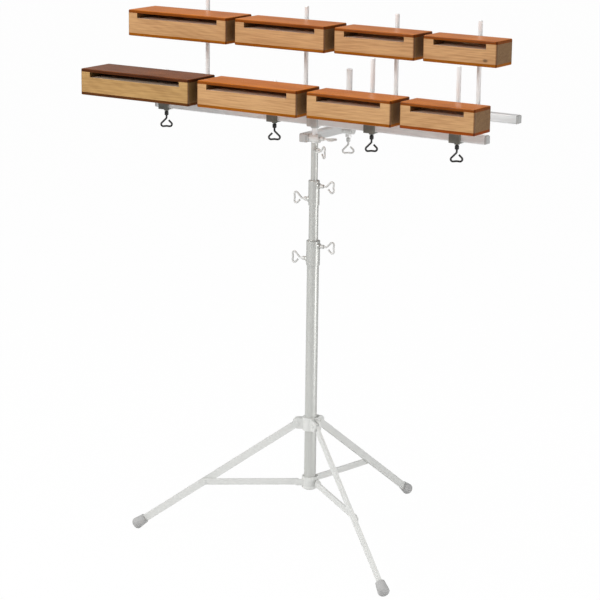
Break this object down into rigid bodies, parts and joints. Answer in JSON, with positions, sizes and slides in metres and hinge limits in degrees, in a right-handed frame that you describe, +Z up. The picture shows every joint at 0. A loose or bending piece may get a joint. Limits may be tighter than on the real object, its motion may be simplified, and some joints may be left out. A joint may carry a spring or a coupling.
{
  "type": "woodblock set on a stand",
  "caption": "Graduated woodblocks in two rows, each clamped to a steel rod on square rails, carried by a telescopic pole on a folding tripod.",
  "frame": {"origin": "on the floor, in the middle of the object's box", "axes": "+Z up, +X along the rows towards the shorter blocks, -Y towards the player"},
  "size_m": [1.037, 0.6726, 1.242],
  "materials": {
    "beech": "clear satin varnish on pale beech",
    "red_wood": "gloss varnish on red-brown hardwood",
    "holder_metal": "grey enamel",
    "holder_screw": "black enamel",
    "grey_metal": "grey cast finish",
    "black_wire": "black enamel",
    "pale_wire": "pale grey enamel",
    "rod_steel": "bright drawn steel",
    "pale_metal": "pale grey satin enamel",
    "clamp_metal": "pale grey cast finish",
    "leg_metal": "pale grey satin enamel",
    "hub_metal": "pale grey cast finish",
    "cap_plastic": "pale grey moulded plastic",
    "foot_rubber": "grey moulded rubber"
  },
  "bodies": {
    "lower_block_1": {"lower_block_1_body": "beech", "lower_block_1_plates": "red_wood", "lower_block_1_holder": "holder_metal"},
    "lower_block_1_screw": {"lower_block_1_screw": "holder_screw"},
    "lower_block_2": {"lower_block_2_body": "beech", "lower_block_2_plates": "red_wood", "lower_block_2_holder": "holder_metal"},
    "lower_block_2_screw": {"lower_block_2_screw": "holder_screw"},
    "lower_block_3": {"lower_block_3_body": "beech", "lower_block_3_plates": "red_wood", "lower_block_3_holder": "holder_metal"},
    "lower_block_3_screw": {"lower_block_3_screw": "holder_screw"},
    "lower_block_4": {"lower_block_4_body": "beech", "lower_block_4_plates": "red_wood", "lower_block_4_holder": "holder_metal"},
    "lower_block_4_screw": {"lower_block_4_screw": "holder_screw"},
    "upper_block_1": {"upper_block_1_body": "beech", "upper_block_1_plates": "red_wood", "upper_block_1_holder": "holder_metal"},
    "upper_block_1_screw": {"upper_block_1_screw": "holder_screw"},
    "upper_block_2": {"upper_block_2_body": "beech", "upper_block_2_plates": "red_wood", "upper_block_2_holder": "holder_metal"},
    "upper_block_2_screw": {"upper_block_2_screw": "holder_screw"},
    "upper_block_3": {"upper_block_3_body": "beech", "upper_block_3_plates": "red_wood", "upper_block_3_holder": "holder_metal"},
    "upper_block_3_screw": {"upper_block_3_screw": "holder_screw"},
    "upper_block_4": {"upper_block_4_body": "beech", "upper_block_4_plates": "red_wood", "upper_block_4_holder": "holder_metal"},
    "upper_block_4_screw": {"upper_block_4_screw": "holder_screw"},
    "stand": {"base_tube": "pale_metal", "base_collar_screws": "pale_wire", "upper_hub": "hub_metal"},
    "mid_pole": {"mid_tube": "pale_metal", "mid_collar_screws": "pale_wire"},
    "top_pole": {"top_tube": "pale_metal"},
    "rack": {"front_rail": "pale_metal", "back_rail": "pale_metal", "rail_end_caps": "cap_plastic", "cross_beam": "pale_metal", "block_rods": "rod_steel", "rail_saddles": "grey_metal", "rail_posts": "rod_steel", "front_rail_keys": "black_wire", "back_rail_keys": "pale_wire", "beam_clamps": "clamp_metal"},
    "swivel_screw": {"swivel_screw": "pale_wire"},
    "beam_screw": {"beam_screw": "pale_wire"},
    "lower_hub": {"lower_hub": "hub_metal"},
    "left_leg": {"left_leg": "leg_metal", "left_foot": "foot_rubber"},
    "left_brace": {"left_brace": "leg_metal"},
    "front_leg": {"front_leg": "leg_metal", "front_foot": "foot_rubber"},
    "front_brace": {"front_brace": "leg_metal"},
    "back_leg": {"back_leg": "leg_metal", "back_foot": "foot_rubber"},
    "back_brace": {"back_brace": "leg_metal"}
  },
  "joints": [
    {"name": "lower_block_1_slide", "type": "slide", "parent": "rack", "child": "lower_block_1", "axis": [0, 0, 1], "range_m": [-0.015, 0.005]},
    {"name": "lower_block_1_screw_turn", "type": "hinge", "parent": "lower_block_1", "child": "lower_block_1_screw", "pos_m": [-0.3625, -0.09052, 1.059], "axis": [0, 1, 0], "range_deg": [0, 180]},
    {"name": "lower_block_2_slide", "type": "slide", "parent": "rack", "child": "lower_block_2", "axis": [0, 0, 1], "range_m": [-0.015, 0.005]},
    {"name": "lower_block_2_screw_turn", "type": "hinge", "parent": "lower_block_2", "child": "lower_block_2_screw", "pos_m": [-0.0545, -0.09052, 1.0585], "axis": [0, 1, 0], "range_deg": [0, 180]},
    {"name": "lower_block_3_slide", "type": "slide", "parent": "rack", "child": "lower_block_3", "axis": [0, 0, 1], "range_m": [-0.015, 0.04]},
    {"name": "lower_block_3_screw_turn", "type": "hinge", "parent": "lower_block_3", "child": "lower_block_3_screw", "pos_m": [0.207, -0.09052, 1.0575], "axis": [0, 1, 0], "range_deg": [0, 180]},
    {"name": "lower_block_4_slide", "type": "slide", "parent": "rack", "child": "lower_block_4", "axis": [0, 0, 1], "range_m": [-0.015, 0.04]},
    {"name": "lower_block_4_screw_turn", "type": "hinge", "parent": "lower_block_4", "child": "lower_block_4_screw", "pos_m": [0.4255, -0.09052, 1.057], "axis": [0, 1, 0], "range_deg": [0, 180]},
    {"name": "upper_block_1_slide", "type": "slide", "parent": "rack", "child": "upper_block_1", "axis": [0, 0, 1], "range_m": [-0.03, 0.03]},
    {"name": "upper_block_1_screw_turn", "type": "hinge", "parent": "upper_block_1", "child": "upper_block_1_screw", "pos_m": [-0.3465, 0.05648, 1.187], "axis": [0, 1, 0], "range_deg": [0, 180]},
    {"name": "upper_block_2_slide", "type": "slide", "parent": "rack", "child": "upper_block_2", "axis": [0, 0, 1], "range_m": [-0.03, 0.03]},
    {"name": "upper_block_2_screw_turn", "type": "hinge", "parent": "upper_block_2", "child": "upper_block_2_screw", "pos_m": [-0.064, 0.05648, 1.1865], "axis": [0, 1, 0], "range_deg": [0, 180]},
    {"name": "upper_block_3_slide", "type": "slide", "parent": "rack", "child": "upper_block_3", "axis": [0, 0, 1], "range_m": [-0.03, 0.03]},
    {"name": "upper_block_3_screw_turn", "type": "hinge", "parent": "upper_block_3", "child": "upper_block_3_screw", "pos_m": [0.1815, 0.05648, 1.1855], "axis": [0, 1, 0], "range_deg": [0, 180]},
    {"name": "upper_block_4_slide", "type": "slide", "parent": "rack", "child": "upper_block_4", "axis": [0, 0, 1], "range_m": [-0.03, 0.03]},
    {"name": "upper_block_4_screw_turn", "type": "hinge", "parent": "upper_block_4", "child": "upper_block_4_screw", "pos_m": [0.396, 0.05648, 1.185], "axis": [0, 1, 0], "range_deg": [0, 180]},
    {"name": "mid_pole_slide", "type": "slide", "parent": "stand", "child": "mid_pole", "axis": [0, 0, 1], "range_m": [-0.075, 0.25]},
    {"name": "top_pole_slide", "type": "slide", "parent": "mid_pole", "child": "top_pole", "axis": [0, 0, 1], "range_m": [-0.04, 0.2]},
    {"name": "rack_swivel", "type": "hinge", "parent": "top_pole", "child": "rack", "pos_m": [0.056, -0.09052, 0.95], "axis": [0, 0, 1], "continuous": true},
    {"name": "swivel_screw_turn", "type": "hinge", "parent": "top_pole", "child": "swivel_screw", "pos_m": [0.056, -0.09052, 0.9357], "axis": [0.8572, -0.515, 0], "range_deg": [0, 180]},
    {"name": "beam_screw_turn", "type": "hinge", "parent": "rack", "child": "beam_screw", "pos_m": [0.056, -0.09052, 0.962], "axis": [1, 0, 0], "range_deg": [0, 180]},
    {"name": "left_leg_fold", "type": "hinge", "parent": "stand", "child": "left_leg", "pos_m": [0.02904, -0.10368, 0.283], "axis": [0.4384, -0.8988, 0], "range_deg": [0, 54.92]},
    {"name": "left_brace_fold", "type": "hinge", "parent": "lower_hub", "child": "left_brace", "pos_m": [0.02904, -0.10368, 0.139], "axis": [0.4384, -0.8988, 0], "range_deg": [0, 87.4]},
    {"name": "front_leg_fold", "type": "hinge", "parent": "stand", "child": "front_leg", "pos_m": [0.08087, -0.1073, 0.283], "axis": [0.5592, 0.829, 0], "range_deg": [0, 55.42]},
    {"name": "front_brace_fold", "type": "hinge", "parent": "lower_hub", "child": "front_brace", "pos_m": [0.08087, -0.1073, 0.139], "axis": [0.5592, 0.829, 0], "range_deg": [0, 87.4]},
    {"name": "back_leg_fold", "type": "hinge", "parent": "stand", "child": "back_leg", "pos_m": [0.05809, -0.0606, 0.283], "axis": [-0.9976, 0.0698, 0], "range_deg": [0, 55.42]},
    {"name": "back_brace_fold", "type": "hinge", "parent": "lower_hub", "child": "back_brace", "pos_m": [0.05809, -0.0606, 0.139], "axis": [-0.9976, 0.0698, 0], "range_deg": [0, 87.4]},
    {"name": "lower_hub_slide", "type": "slide", "parent": "stand", "child": "lower_hub", "axis": [0, 0, 1], "range_m": [0, 0.09601]}
  ],
  "couplings": [
    {"joint": "left_brace_fold", "follows": "left_leg_fold", "ratio": 1.5824},
    {"joint": "front_brace_fold", "follows": "left_leg_fold", "ratio": 1.5824},
    {"joint": "front_leg_fold", "follows": "left_leg_fold", "ratio": 1},
    {"joint": "back_brace_fold", "follows": "left_leg_fold", "ratio": 1.5824},
    {"joint": "back_leg_fold", "follows": "left_leg_fold", "ratio": 1},
    {"joint": "lower_hub_slide", "follows": "left_leg_fold", "m_per_rad": 0.099123}
  ]
}
